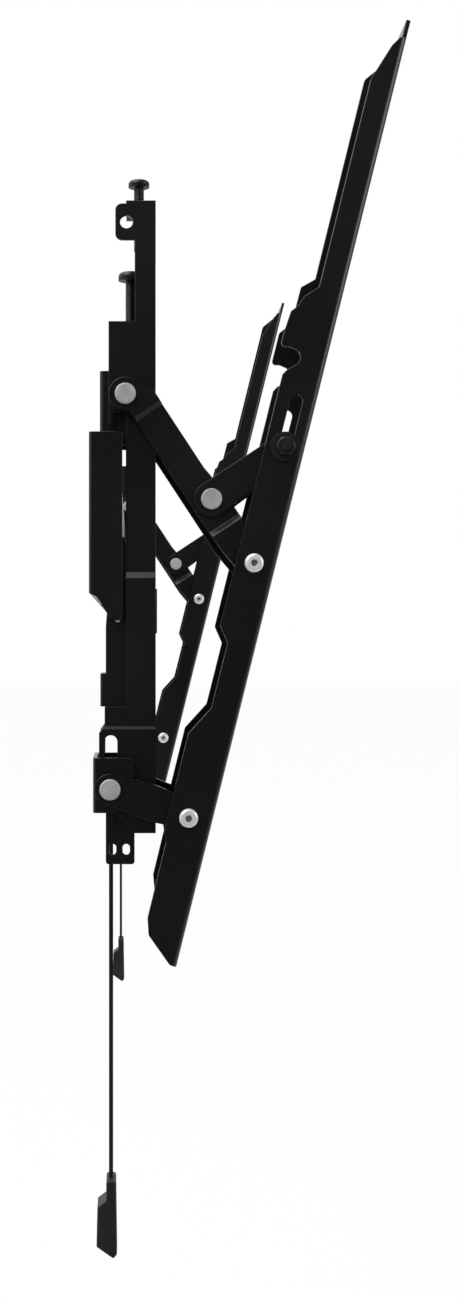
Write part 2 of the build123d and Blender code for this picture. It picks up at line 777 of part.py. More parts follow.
def lower_clevis():
    """The clevis wrapped round the channel's foot, carrying the lower pivot."""
    cheek = side_face(
        [
            (CLEVIS_BACK, CLEVIS_TOP),
            (CLEVIS_FRONT, CLEVIS_TOP),
            (CLEVIS_FRONT, CLEVIS_BOTTOM + 5),
            (12.5, CLEVIS_BOTTOM),
            (CLEVIS_BACK, CLEVIS_BOTTOM),
        ],
        [0.0, 2.0, 2.0, 2.0, 0.0],
    )
    cheek = cheek - disc_at(LOWER_PIVOT, RIVET_RADIUS + RUNNING_FIT)
    side = slab(cheek, CLEVIS_LEVEL, CLEVIS_LEVEL + SHEET)
    back = box_between(
        (CLEVIS_LEVEL, BRACKET_WIDTH - CLEVIS_LEVEL),
        (CLEVIS_BACK, CLEVIS_BACK + SHEET),
        (CLEVIS_BOTTOM, CLEVIS_TOP),
    )
    clevis = side + mirrored(side) + back
    corners = clevis.edges().filter_by(Axis.Z).group_by(Axis.Y)[-1]
    return fillet(corners, SHEET)


def hanger():
    """The inner hook that drops into the plate and takes the height screw's tip."""
    rest = RAIL_TOP + SEAT_GAP
    leg_front = PLATE_DEPTH - SHEET - CHANNEL_GAP
    cheek = side_face(
        [
            (HANGER_BACK, HANGER_TOP),
            (HANGER_FRONT, HANGER_TOP),
            (HANGER_FRONT, rest),
            (leg_front, rest),
            (leg_front, HANGER_TIP),
            (HANGER_BACK + 2, HANGER_TIP),
            (HANGER_BACK, HANGER_TIP + 4),
        ],
        [0.0, 1.0, 0.0, 0.0, 2.0, 0.0, 0.0],
    )
    side = slab(cheek, HANGER_LEVEL, HANGER_LEVEL + SHEET)
    inside = (HANGER_LEVEL, BRACKET_WIDTH - HANGER_LEVEL)
    back = box_between(inside, (HANGER_BACK, HANGER_BACK + SHEET), (HANGER_TIP + 4, HANGER_TOP))
    roof = box_between(inside, (HANGER_BACK, HANGER_FRONT - 1), (HANGER_TOP - SHEET, HANGER_TOP))
    piece = side + mirrored(side) + back + roof
    corners = piece.edges().filter_by(Axis.Z).group_by(Axis.Y)[-1]
    return fillet(corners, SHEET * 0.9)


def pan_screw(out, tip, head_bottom, head_height, head_radius):
    """An upright pan-head screw with a cross recess, on the bracket's centre line."""
    shank = cylinder_up(out, SCREW_RADIUS, tip, head_bottom)
    shank = chamfer(shank.faces().sort_by(Axis.Z)[0].edges(), 0.6)
    head = cylinder_up(out, head_radius, head_bottom, head_bottom + head_height)
    head = fillet(head.faces().sort_by(Axis.Z)[-1].edges(), head_height * 0.55)
    top = head_bottom + head_height
    slot = Pos(HALF_WIDTH, -out, top) * Box(head_radius, 1.2, 3.0)
    return head + shank - slot - slot_turned(out, top, head_radius)


def slot_turned(out, top, head_radius):
    """The second arm of a cross recess."""
    return Pos(HALF_WIDTH, -out, top) * Box(1.2, head_radius, 3.0)


def cylinder_up(out, radius, bottom, top):
    """An upright round bar on the bracket's centre line."""
    disc = Pos(HALF_WIDTH, -out, bottom) * Circle(radius)
    return extrude(disc, amount=top - bottom)


def latch_cheek(foot):
    """One cheek of the catch, from its guide tongue and hook down to a foot height."""
    rail_back = PLATE_DEPTH - SHEET - CHANNEL_GAP
    ledge = RAIL_BOTTOM - LEDGE_GAP
    tongue_back, tongue_front = TONGUE_OUTS
    points = [
        (rail_back - 2.5, LATCH_TIP, 0.6),
        (rail_back - 1.2, LATCH_TIP, 0.6),
        (rail_back, LATCH_TIP - 4, 1.0),
        (rail_back, ledge, 0.0),
        (tongue_back, ledge, 0.0),
        (tongue_back, TONGUE_TOP, 0.6),
        (tongue_front, TONGUE_TOP, 0.6),
        (tongue_front, ledge, 0.8),
        (LATCH_FRONT - 2.4, ledge, 0.5),
        (LATCH_FRONT, RAIL_BOTTOM - 5.6, 1.0),
        (LATCH_FRONT, foot, 1.4),
        (LATCH_BACK, foot, 1.4),
        (LATCH_BACK, WINDOW_BOTTOM - 2.0, 1.0),
        (15.0, WINDOW_BOTTOM - 2.0, 1.5),
        (15.0, WINDOW_TOP + 2.5, 1.5),
        (LATCH_BACK, WINDOW_TOP + 2.5, 1.0),
        (LATCH_BACK, LATCH_TAB_BOTTOM, 0.0),
        (LATCH_TAB_BACK, LATCH_TAB_BOTTOM, 0.0),
        (LATCH_TAB_BACK, LATCH_TAB_TOP, 0.0),
        (LATCH_BACK, LATCH_TAB_TOP, 0.0),
        (LATCH_BACK, RAIL_BOTTOM - 3.0, 1.0),
    ]
    cheek = side_face([(out, up) for out, up, _ in points], [r for *_, r in points])
    cheek = cheek - disc_at((CORD_OUT, CORD_PIN_UP), CORD_PIN_RADIUS + RUNNING_FIT)
    return slab(cheek, LATCH_LEVEL, LATCH_LEVEL + LATCH_SHEET)


def latch_slots():
    """The two upright slots in the near cheek's foot."""
    straight = CORD_SLOT[1] - CORD_SLOT[0]
    slot = Plane.YZ * SlotCenterToCenter(straight, CORD_SLOT[0], rotation=90)
    cuts = []
    for out in CORD_SLOT_OUTS:
        cuts.append(slab(Pos(0, -out, CORD_SLOT_UP) * slot, 0, HALF_WIDTH))
    return Compound(children=[part_solid(cut) for cut in cuts])


def latch():
    """The sliding catch: hooked cheeks, a folded back tab and a slotted near foot."""
    near = latch_cheek(LATCH_FOOT) - latch_slots()
    far = mirrored(latch_cheek(LATCH_FAR_FOOT))
    inside = (LATCH_LEVEL, BRACKET_WIDTH - LATCH_LEVEL)
    back = box_between(
        inside, (LATCH_TAB_BACK, LATCH_TAB_BACK + LATCH_SHEET), (LATCH_TAB_BOTTOM, LATCH_TAB_TOP)
    )
    roof = box_between(
        inside, (LATCH_TAB_BACK, LATCH_FRONT - 1), (LATCH_TAB_TOP - LATCH_SHEET, LATCH_TAB_TOP)
    )
    bridge_low = LATCH_FAR_FOOT + 1.5
    bridge = box_between(
        inside, (LATCH_FRONT - LATCH_SHEET, LATCH_FRONT), (bridge_low, bridge_low + LATCH_BRIDGE)
    )
    piece = near + far + back + roof + bridge
    corners = piece.edges().filter_by(Axis.Z).group_by(Axis.Y)[-1]
    return fillet(corners, LATCH_SHEET * 0.9)


def latch_spring():
    """The compression spring between the catch's roof and the channel's tongue."""
    top = LATCH_TAB_TOP - LATCH_SHEET - FACE_GAP
    bottom = SPRING_SEAT + FACE_GAP
    height = top - bottom - 2 * SPRING_WIRE
    coil = Helix(pitch=height / SPRING_TURNS, height=height, radius=SPRING_RADIUS)
    wire = Plane(origin=coil @ 0, z_dir=coil % 0) * Circle(SPRING_WIRE)
    spring = sweep(wire, path=coil)
    return Pos(HALF_WIDTH, -SPRING_OUT, bottom + SPRING_WIRE) * spring


def cord_pin():
    """The flush cross pin of the catch's foot."""
    place = (CORD_OUT, CORD_PIN_UP)
    return cross_pin(place, CORD_PIN_RADIUS, LATCH_LEVEL, BRACKET_WIDTH - LATCH_LEVEL)


def cord_crimp():
    """The crimped eye that hangs on the pin and holds the cord's end."""
    body = cylinder_up(CORD_OUT, CRIMP_RADIUS, CORD_TOP, CRIMP_TOP)
    place = (CORD_OUT, CORD_PIN_UP)
    bore = cross_pin(place, CORD_PIN_RADIUS + RUNNING_FIT, 0, BRACKET_WIDTH)
    return body - bore


def cord_fixing():
    """The cross pin and the crimped eye, as the two pieces that hold the cord."""
    return Compound(children=[part_solid(cord_pin()), part_solid(cord_crimp())])


def pull_cord():
    """The straight hanging pull cord."""
    return cylinder_up(CORD_OUT, CORD_RADIUS, CORD_BOTTOM, CORD_TOP)


def pull_grip():
    """The moulded grip: a narrow neck, a sloped shoulder behind and a slanted foot."""
    low = CORD_BOTTOM - GRIP_LENGTH
    side = side_face(
        [
            (8.0, CORD_BOTTOM),
            (12.6, CORD_BOTTOM),
            (12.8, CORD_BOTTOM - 14.0),
            (13.1, low + 2.0),
            (11.4, low),
            (3.4, low + 5.6),
            (3.8, CORD_BOTTOM - 12.3),
            (8.0, CORD_BOTTOM - 9.1),
        ],
        [1.0, 1.0, 2.0, 1.2, 0.8, 0.8, 0.8, 1.2],
    )
    half = GRIP_WIDTH / 2
    grip = slab(side, HALF_WIDTH - half, HALF_WIDTH + half)
    rims = grip.faces().filter_by(Axis.X).edges()
    return chamfer(rims, 0.5)


def back_panel_block():
    """The back panel as a plain block, before its slots."""
    return box_between((-PLATE_HALF, PLATE_HALF), (0, SHEET), (PLATE_BOTTOM, PLATE_TOP))


def rail_block():
    """The front rail as a plain block between the end walls, before its windows."""
    half = PLATE_HALF - SHEET
    return box_between((-half, half), (PLATE_DEPTH - SHEET, PLATE_DEPTH), (RAIL_BOTTOM, RAIL_TOP))


def wall_plate():
    """The long back panel, with its ends bent forward into two end walls."""
    end = side_face(
        [
            (0, PLATE_TOP),
            (PLATE_DEPTH + END_LIP, PLATE_TOP),
            (PLATE_DEPTH + END_LIP, RAIL_BOTTOM),
            (PLATE_DEPTH, RAIL_BOTTOM),
            (9.7, RAIL_BOTTOM + 1.0),
            (4.0, PLATE_BOTTOM - 2.0),
            (0, PLATE_BOTTOM),
        ],
        [0.0, 1.0, 1.0, 0.0, 1.0, 1.0, 0.0],
    )
    near_end = slab(end, -PLATE_HALF, -PLATE_HALF + SHEET)
    far_end = slab(end, PLATE_HALF - SHEET, PLATE_HALF)
    plate = (back_panel_block() - lag_slots()) + near_end + far_end
    bends = plate.edges().filter_by(Axis.Z).group_by(Axis.Y)[-1]
    outer = [edge for edge in bends if abs(abs(edge.center().X) - PLATE_HALF) < 0.01]
    return fillet(outer, SHEET * 0.8)


def front_rail():
    """The flat rail that the brackets hook over, welded between the end walls."""
    return rail_block() - rail_windows()


def bottom_straps():
    """Two slanted straps that join the front rail's foot to the back panel."""
    strap = side_face(
        [
            (0, PLATE_BOTTOM),
            (4.0, PLATE_BOTTOM - 2.0),
            (9.7, RAIL_BOTTOM + 1.0),
            (PLATE_DEPTH, RAIL_BOTTOM),
            (PLATE_DEPTH, RAIL_BOTTOM + SHEET),
            (10.8, RAIL_BOTTOM + SHEET + 1.0),
            (5.2, PLATE_BOTTOM),
            (0, PLATE_BOTTOM + SHEET),
        ]
    )
    straps = []
    for centre in (-STRAP_PLACE, STRAP_PLACE):
        bar = slab(strap, centre - STRAP_WIDTH / 2, centre + STRAP_WIDTH / 2)
        straps.append(part_solid(bar - back_panel_block() - rail_block()))
    return Compound(children=straps)


def lag_slots():
    """Slots in the back panel for the wall screws, and a middle pair."""
    straight = LAG_SLOT_LENGTH - LAG_SLOT_WIDTH
    slot = Plane.XZ * SlotCenterToCenter(straight, LAG_SLOT_WIDTH)
    cutter = extrude(slot, amount=SHEET * 2, both=True)
    cuts = []
    for across in (-LAG_SPACING / 2, 0, LAG_SPACING / 2):
        for up in (-LAG_ROWS / 2, LAG_ROWS / 2):
            cuts.append(part_solid(Pos(across, 0, up) * cutter))
    return Compound(children=cuts)


def rail_windows():
    """Openings in the front rail, to reach the wall screws and pass cables."""
    wide, tall = RAIL_WINDOW
    window = Plane.XZ * RectangleRounded(wide, tall, RAIL_WINDOW_RADIUS)
    cutter = extrude(window, amount=PLATE_DEPTH * 2, both=True)
    cable = Plane.XZ * RectangleRounded(*CABLE_WINDOW, RAIL_WINDOW_RADIUS)
    cuts = [part_solid(extrude(cable, amount=PLATE_DEPTH * 2, both=True))]
    first = LAG_SPACING / 2 - RAIL_WINDOW_PITCH
    for side in (-1, 1):
        for step in range(3):
            across = side * (first + step * RAIL_WINDOW_PITCH)
            cuts.append(part_solid(Pos(across, 0, 0) * cutter))
    return Compound(children=cuts)


def assembly_pieces():
    """Every piece of one bracket assembly, by name, at the origin."""
    upper_inner = MID_LEVEL + SHEET
    foot_inner = FOOT_LEVEL + SHEET
    recess_inner = RECESS_LEVEL + SHEET
    behind_link = LINK_LEVEL + SHEET + FACE_GAP
    foot_nut_level = behind_link + WIDE_WASHER_THICKNESS
    link = upper_link()
    arm = tension_arm()
    short = lower_link()
    bolts = [socket_bolt(SCREEN_PIVOT), socket_bolt(FOOT_PIVOT)]
    spacers = [pivot_spacer(SCREEN_PIVOT), pivot_spacer(FOOT_PIVOT), wide_washer()]
    nuts = [pivot_nut(SCREEN_PIVOT, behind_link), pivot_nut(FOOT_PIVOT, foot_nut_level)]
    collars = [upper_pivot_collar(), lower_pivot_washer()]
    upper_rivet = domed_rivet(UPPER_PIVOT, RIVET_HEAD, upper_inner, RIVET_TAIL_THICKNESS)
    lower_rivet = domed_rivet(LOWER_PIVOT, RIVET_HEAD, foot_inner, RIVET_TAIL_THICKNESS)
    elbow_rivet = domed_rivet(ELBOW, ELBOW_HEAD, recess_inner, ELBOW_TAIL_THICKNESS)
    jack = pan_screw(
        JACK_OUT, HANGER_TOP + FACE_GAP, JACK_HEAD_BOTTOM, JACK_HEAD_HEIGHT, JACK_HEAD
    )
    top = pan_screw(
        TOP_SCREW_OUT,
        TOP_SCREW_TIP,
        TOP_SCREW_HEAD_BOTTOM,
        TOP_SCREW_HEAD_HEIGHT,
        TOP_SCREW_HEAD,
    )
    return {
        "hanger": hanger(),
        "height_screw": jack,
        "wall_side_bracket": wall_side_bracket(),
        "top_screw": top,
        "bumper_pad": bumper_pad(),
        "lower_clevis": lower_clevis(),
        "upper_pivot_rivets": both_sides(upper_rivet),
        "lower_pivot_rivets": both_sides(lower_rivet),
        "pivot_collars": group(collars),
        "upper_link_near": link,
        "upper_link_far": mirrored(link),
        "elbow_rivets": both_sides(elbow_rivet),
        "tension_arms": both_sides(arm),
        "tension_studs": both_sides(tension_stud()),
        "tension_nuts": both_sides(tension_nut()),
        "tension_washers": both_sides(tension_washer()),
        "friction_discs": both_sides(friction_disc()),
        "screen_bracket": screen_bracket(),
        "pivot_bolts": group(bolts),
        "pivot_nuts": group(nuts),
        "pivot_spacers": group(spacers),
        "lower_link_near": short,
        "lower_link_far": mirrored(short),
        "catch": latch(),
        "catch_spring": latch_spring(),
        "cord_fixing": cord_fixing(),
        "pull_cord": pull_cord(),
        "pull_grip": pull_grip(),
    }


def group(solids):
    """Several pieces of one side and their opposite copies, as one group."""
    members = []
    for solid in solids:
        members.append(part_solid(solid))
        members.append(part_solid(mirrored(solid)))
    return Compound(children=members)


def main():
    """Write every node: the plate, and both bracket assemblies at their places."""
    os.makedirs("parts", exist_ok=True)
    export_step(part_solid(wall_plate()), "parts/wall_plate.step")
    export_step(part_solid(front_rail()), "parts/front_rail.step")
    export_step(bottom_straps(), "parts/bottom_straps.step")
    left_start = -BRACKET_SPACING / 2 - HALF_WIDTH
    starts = {"left": left_start, "right": left_start + BRACKET_SPACING}
    for name, piece in assembly_pieces().items():
        for side, start in starts.items():
            placed = Pos(start, 0, 0) * part_solid(piece)
            export_step(placed, f"parts/{side}_{name}.step")


main()
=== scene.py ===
# %% [markdown]
# # A fold-out tilting wall bracket for a flat screen
#
# This lesson dresses a bracket of folded black steel: a long wall plate, and on it
# two channel brackets whose flat links swing a tilted screen bracket forward. The
# metal model comes first, already at its real size in metres. The Y axis runs into
# the wall and Z is up, so the screen side faces -Y. The lesson adds finishes,
# rounded sheet edges, cut threads and hanging cords, and never moves the metal.

import json
from math import radians

import bmesh
import bpy
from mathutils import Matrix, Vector


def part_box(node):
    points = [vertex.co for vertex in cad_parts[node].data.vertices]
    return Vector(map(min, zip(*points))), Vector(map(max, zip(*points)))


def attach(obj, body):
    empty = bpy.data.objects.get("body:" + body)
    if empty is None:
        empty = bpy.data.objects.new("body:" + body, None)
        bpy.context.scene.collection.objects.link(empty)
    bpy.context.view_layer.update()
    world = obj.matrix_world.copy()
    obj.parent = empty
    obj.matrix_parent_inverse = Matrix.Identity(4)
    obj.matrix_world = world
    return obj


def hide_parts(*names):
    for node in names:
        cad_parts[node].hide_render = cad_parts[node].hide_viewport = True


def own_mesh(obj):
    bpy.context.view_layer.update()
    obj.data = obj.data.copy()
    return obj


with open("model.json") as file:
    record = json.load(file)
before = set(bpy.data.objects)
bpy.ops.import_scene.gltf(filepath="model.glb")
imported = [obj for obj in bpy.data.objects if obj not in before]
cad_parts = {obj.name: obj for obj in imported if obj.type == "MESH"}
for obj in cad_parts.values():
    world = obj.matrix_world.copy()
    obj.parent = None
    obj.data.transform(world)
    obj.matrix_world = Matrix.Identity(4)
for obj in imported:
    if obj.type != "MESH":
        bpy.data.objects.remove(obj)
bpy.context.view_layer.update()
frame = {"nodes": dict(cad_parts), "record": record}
scene = bpy.context.scene
body_of_node = {}
for body, members in frame["record"]["behaviour"]["bodies"].items():
    for member in members:
        body_of_node[member] = body
slot_of_node = {row["node"]: row["material_slot"] for row in frame["record"]["subparts"]}
ACROSS = {"left": -0.3, "right": 0.3}

# %% [markdown]
# ## The view along the wall
#
# The bracket is seen from its side, with the wall plate pointing at the viewer. The
# far assembly looks about half as large as the near one, so the camera stands
# close: seven tenths of a metre from the near bracket's side. It looks straight
# along the wall. A level camera that is shifted a little keeps upright edges
# upright, which turning the camera would not.

# %% Set the camera
NEAR_SIDE = -0.325
CAMERA_DISTANCE = 0.716
EYE_OUT = 0.0207
EYE_BELOW = 0.0479

camera_data = bpy.data.cameras.new("side_camera")
camera_data.sensor_fit = "VERTICAL"
camera_data.sensor_height = 36.0
camera_data.lens = 43.0
camera_data.shift_x = 0.0738
camera_data.shift_y = -0.0062
camera = bpy.data.objects.new("side_camera", camera_data)
camera.location = (NEAR_SIDE - CAMERA_DISTANCE, -EYE_OUT, -EYE_BELOW)
camera.rotation_euler = (radians(90), 0, radians(-90))
scene.collection.objects.link(camera)
scene.camera = camera
scene.view_settings.view_transform = "Standard"
print("camera at", tuple(round(value, 3) for value in camera.location))

# %% [markdown]
# ## Soft studio light
#
# Black metal is drawn by what it mirrors. Three large soft lamps do that: one over
# the viewer's shoulder, one high above for the upward edges, and one from the
# screen side. Large lamps give broad, gentle highlights, where a small lamp would
# leave hard white points on every bolt.

# %% Hang the lamps
LAMP_AIM = (0.0, -0.06, 0.0)
LAMPS = (
    ("shoulder_lamp", (-1.6, 1.2, 1.4), 1.2, 29.0),
    ("top_lamp", (-0.3, 0.5, 1.9), 1.6, 30.0),
    ("screen_side_lamp", (-0.9, -1.9, 0.5), 1.2, 16.0),
)


def soft_lamp(name, place, width, power):
    """A square area lamp that looks at the middle of the bracket."""
    data = bpy.data.lights.new(name, "AREA")
    data.size = width
    data.energy = power
    lamp = bpy.data.objects.new(name, data)
    lamp.location = place
    direction = Vector(LAMP_AIM) - Vector(place)
    lamp.rotation_euler = direction.to_track_quat("-Z", "Y").to_euler()
    scene.collection.objects.link(lamp)


for name, place, width, power in LAMPS:
    soft_lamp(name, place, width, power)
print(len(LAMPS), "soft lamps")

# %% [markdown]
# ## Shader arithmetic in plain Python
#
# A finish is a small calculation: take a noise, scale it, mix two colours with it.
# Wiring each sum by hand hides the idea, so one class wraps a node's output and
# lets Python's own operators add the Math nodes. Every other node comes from its
# `node` method, which sets the node's options first and its inputs after.

# %% A signal that can be added and multiplied
class Signal:
    """One output socket, with arithmetic."""

    def __init__(self, tree, socket):
        self.tree = tree
        self.socket = socket

    def node(self, kind, settings, inputs, output=0):
        """A new node in the same tree, given back as the signal of one output."""
        made = self.tree.nodes.new(kind)
        for name, value in settings.items():
            setattr(made, name, value)
        for name, value in inputs.items():
            if isinstance(value, Signal):
                self.tree.links.new(value.socket, made.inputs[name])
            else:
                made.inputs[name].default_value = value
        return Signal(self.tree, made.outputs[output])

    def sum_node(self, operation, first, second):
        return self.node("ShaderNodeMath", {"operation": operation}, {0: first, 1: second})

    def __add__(self, other):
        return self.sum_node("ADD", self, other)

    def __radd__(self, other):
        return self.sum_node("ADD", other, self)

    def __mul__(self, other):
        return self.sum_node("MULTIPLY", self, other)

    def __rmul__(self, other):
        return self.sum_node("MULTIPLY", other, self)

    def part(self, axis):
        """One of a vector's three numbers."""
        return self.node("ShaderNodeSeparateXYZ", {}, {"Vector": self}, axis)

    def noise(self, scale, detail, roughness=0.5):
        sizes = {"Vector": self, "Scale": scale, "Detail": detail, "Roughness": roughness}
        return self.node("ShaderNodeTexNoise", {}, sizes)

    def between(self, low, high):
        """This signal stretched so that low becomes 0 and high becomes 1."""
        ends = {"Value": self, "From Min": low, "From Max": high}
        return self.node("ShaderNodeMapRange", {"clamp": True}, ends)

    def blend(self, first, second):
        """A colour that goes from first to second as this signal goes from 0 to 1."""
        made = self.tree.nodes.new("ShaderNodeMix")
        made.data_type = "RGBA"
        self.tree.links.new(self.socket, made.inputs["Factor"])
        colour_inputs = [socket for socket in made.inputs if socket.type == "RGBA"]
        for socket, colour in zip(colour_inputs, (first, second)):
            if isinstance(colour, Signal):
                self.tree.links.new(colour.socket, socket)
            else:
                socket.default_value = (*colour, 1.0)
        colour_output = [socket for socket in made.outputs if socket.type == "RGBA"][0]
        return Signal(self.tree, colour_output)

    def bump(self, strength, distance):
        sizes = {"Strength": strength, "Distance": distance, "Height": self}
        return self.node("ShaderNodeBump", {}, sizes, "Normal")


print("signal class ready")

# %% [markdown]
# ## Three helpers for finishes
#
# Every finish starts as a new material with its main shader and the object's own
# coordinates. Signals are then fed to the shader by name. A third helper tells
# apart the rays that come from the camera, from a mirror-like surface, or through
# a clear one.

# %% Helpers for finishes
def new_finish(name):
    """An empty finish: its material, its main shader and the object's coordinates."""
    material = bpy.data.materials.new(name)
    material.use_nodes = True
    tree = material.node_tree
    shader = tree.nodes["Principled BSDF"]
    coordinates = tree.nodes.new("ShaderNodeTexCoord")
    return material, shader, Signal(tree, coordinates.outputs["Object"])


def feed(shader, **signals):
    """Link signals to the shader's sockets, with underscores for the spaces."""
    for name, signal in signals.items():
        socket = shader.inputs[name.replace("_", " ")]
        signal.tree.links.new(signal.socket, socket)


def ray_kinds(tree):
    """Signals that are 1 for camera rays, for mirrored rays and for passing rays."""
    ray = tree.nodes.new("ShaderNodeLightPath")
    names = ("Is Camera Ray", "Is Glossy Ray", "Is Transmission Ray")
    return [Signal(tree, ray.outputs[name]) for name in names]


print("finish helpers ready")

# %% [markdown]
# ## White distance
#
# The metal is shown on plain white. More lamp power would wash out the black steel,
# so the full white is only for rays that come straight from the camera, and a calm
# grey lights everything else. A mirrored ray gets a third answer: a room that is
# white beyond the bracket, on the wall side and above, and dim towards the viewer
# and the screen side. Flats that face the viewer then stay black, while every edge
# that mirrors the white distance shows as a thin pale line.

# %% Make the world
WHITE = (1.0, 1.0, 1.0)
CALM_GREY = (0.42, 0.42, 0.43)
VIEWER_SIDE = (0.06, 0.06, 0.064)
WALL_SHARE = 0.8
UPWARD_SHARE = 0.3
ROOM_DIM = -0.5
ROOM_BRIGHT = 0.6

world = bpy.data.worlds.new("studio_world")
world.use_nodes = True
scene.world = world
world_tree = world.node_tree
sky = world_tree.nodes.new("ShaderNodeTexCoord")
heading = Signal(world_tree, sky.outputs["Generated"])
along_wall, to_wall, upward = [heading.part(axis) for axis in "XYZ"]
room = along_wall + to_wall * WALL_SHARE + upward * UPWARD_SHARE
room_colour = room.between(ROOM_DIM, ROOM_BRIGHT).blend(VIEWER_SIDE, WHITE)
seen, mirrored, passing = ray_kinds(world_tree)
lighting = mirrored.blend(CALM_GREY, room_colour)
world_colour = (seen + passing).between(0.0, 1.0).blend(lighting, WHITE)
background = world_tree.nodes["Background"]
world_tree.links.new(world_colour.socket, background.inputs["Color"])
background.inputs["Strength"].default_value = 1.0
print("world has", len(world_tree.nodes), "nodes")

# %% [markdown]
# ## White ground
#
# The floor follows the same rule: it glows for camera rays, and for mirrored rays it
# is dim towards the viewer and pale under the bracket. It lets a little of its own
# shading through, so a faint shadow stays.

# %% Lay the floor
FLOOR_HEIGHT = -0.46
FLOOR_SIZE = 30
FLOOR_DIM = -0.85
FLOOR_BRIGHT = -0.2
NEAR_FLOOR = (0.8, 0.8, 0.8)
GLOW_SHARE = 0.96

bpy.ops.mesh.primitive_plane_add(size=FLOOR_SIZE, location=(0, 0, FLOOR_HEIGHT))
floor = bpy.context.object
floor.name = "floor"
floor_material, floor_shader, floor_place = new_finish("pale_floor")
floor_shader.inputs["Base Color"].default_value = (0.85, 0.85, 0.85, 1)
floor_shader.inputs["Roughness"].default_value = 0.9
floor_tree = floor_material.node_tree
seen, mirrored, passing = ray_kinds(floor_tree)
glow_share = (seen + mirrored + passing).between(0.0, 1.0) * GLOW_SHARE
floor_along = floor_place.part("X").between(FLOOR_DIM, FLOOR_BRIGHT)
glow_colour = mirrored.blend(WHITE, floor_along.blend(VIEWER_SIDE, NEAR_FLOOR))
glow = floor_tree.nodes.new("ShaderNodeEmission")
floor_mix = floor_tree.nodes.new("ShaderNodeMixShader")
floor_out = floor_tree.nodes["Material Output"]
floor_tree.links.new(glow_colour.socket, glow.inputs["Color"])
floor_tree.links.new(glow_share.socket, floor_mix.inputs["Fac"])
floor_tree.links.new(floor_shader.outputs["BSDF"], floor_mix.inputs[1])
floor_tree.links.new(glow.outputs["Emission"], floor_mix.inputs[2])
floor_tree.links.new(floor_mix.outputs["Shader"], floor_out.inputs["Surface"])
floor.data.materials.append(floor_material)
print("floor at", FLOOR_HEIGHT)

# %% [markdown]
# ## Black powder coat
#
# The sheet parts are sprayed with dry black powder that melts into an even skin. Up
# close the skin has a fine orange-peel grain, and over a hand's breadth it varies a
# little in tone and gloss. Three noises make it: a fine one feeds the bump and a
# little of the roughness, a broad one shifts tone and gloss by a hair, and a third
# adds sparse paler flecks.

# %% Mix the powder coat
def powder_coat(name, dark, pale, gloss):
    """A sprayed coat with fine grain, slow changes and a few flecks."""
    material, shader, place = new_finish(name)
    broad = place.noise(14.0, 3.0).between(0.3, 0.7)
    grain = place.noise(1500.0, 2.0)
    fleck = place.noise(420.0, 1.0).between(0.62, 0.8)
    colour = (broad * 0.8 + fleck * 0.35).between(0.0, 1.0).blend(dark, pale)
    feed(shader, Base_Color=colour)
    feed(shader, Roughness=gloss + broad * 0.05 + grain * 0.04)
    feed(shader, Normal=grain.bump(0.2, 0.00003))
    return material


black_coat = powder_coat(
    "black_powder_coat",
    dark=(0.0032, 0.0032, 0.0035),
    pale=(0.0055, 0.0055, 0.0059),
    gloss=0.25,
)
print("made", black_coat.name)

# %% [markdown]
# ## Plated and blackened steel
#
# The bolts that carry the screen are bright, the rivets are a dull zinc grey, and
# the screws and nuts are blackened. Most of their colour comes from what they
# mirror. Fine turning marks on the heads stop them from looking like glass. The
# bolts' hexagon sockets get painted shade: their walls and floor are marked with
# an attribute, and the finish is painted darker wherever it is 1.

# %% Mix the metals
def worked_metal(name, dark, pale, roughness, metallic, marks, socket_shade_colour=None):
    """A metal with turning marks, and a darker colour painted as shade in marked sockets
    if given.
    """
    material, shader, place = new_finish(name)
    broad = place.noise(160.0, 3.0).between(0.3, 0.7)
    fine = place.noise(2600.0, 2.0)
    colour = broad.blend(dark, pale)
    # Painted shade: the marked socket faces take a darker colour, as if in deeper shadow.
    if socket_shade_colour:
        painted_socket_shade = place.node("ShaderNodeAttribute", {"attribute_name": "painted_socket_shade"}, {}, "Fac")
        colour = painted_socket_shade.blend(colour, socket_shade_colour)
    feed(shader, Base_Color=colour)
    feed(shader, Roughness=roughness + fine * 0.12 + broad * 0.06)
    feed(shader, Normal=fine.bump(marks, 0.00005))
    shader.inputs["Metallic"].default_value = metallic
    return material


bright_steel = worked_metal(
    "bright_plated_steel",
    dark=(0.7, 0.7, 0.71),
    pale=(0.82, 0.82, 0.83),
    roughness=0.24,
    metallic=0.5,
    marks=0.2,
    # the darker colour painted as shade in the bolts' sockets
    socket_shade_colour=(0.3, 0.3, 0.32),
)
grey_steel = worked_metal(
    "dull_zinc_steel",
    dark=(0.29, 0.29, 0.3),
    pale=(0.38, 0.38, 0.39),
    roughness=0.42,
    metallic=0.35,
    marks=0.3,
)
dark_steel = worked_metal(
    "blackened_steel",
    dark=(0.005, 0.005, 0.0055),
    pale=(0.009, 0.009, 0.0098),
    roughness=0.33,
    metallic=0.1,
    marks=0.25,
)
spring_steel = worked_metal(
    "spring_wire",
    dark=(0.2, 0.2, 0.21),
    pale=(0.3, 0.3, 0.31),
    roughness=0.3,
    metallic=1.0,
    marks=0.15,
)
print("made four metals")

# %% [markdown]
# ## Moulded nylon and rubber
#
# The grips on the cords are moulded with a fine spark-eroded grain, which shows as
# a soft sheen with no sharp reflections. The bumper pads are plain matt rubber. The
# same recipe makes both: a grain bump and a slow change of roughness.

# %% Mix the moulded finishes
def moulded(name, dark, pale, roughness, grain_size, depth):
    """A moulded surface with a grain and a soft sheen."""
    material, shader, place = new_finish(name)
    grain = place.noise(grain_size, 3.0, 0.6)
    broad = place.noise(60.0, 2.0).between(0.3, 0.7)
    feed(shader, Base_Color=(broad * 0.7 + grain * 0.3).blend(dark, pale))
    feed(shader, Roughness=roughness + broad * 0.1)
    feed(shader, Normal=grain.bump(0.4, depth))
    shader.inputs["Specular IOR Level"].default_value = 0.3
    return material


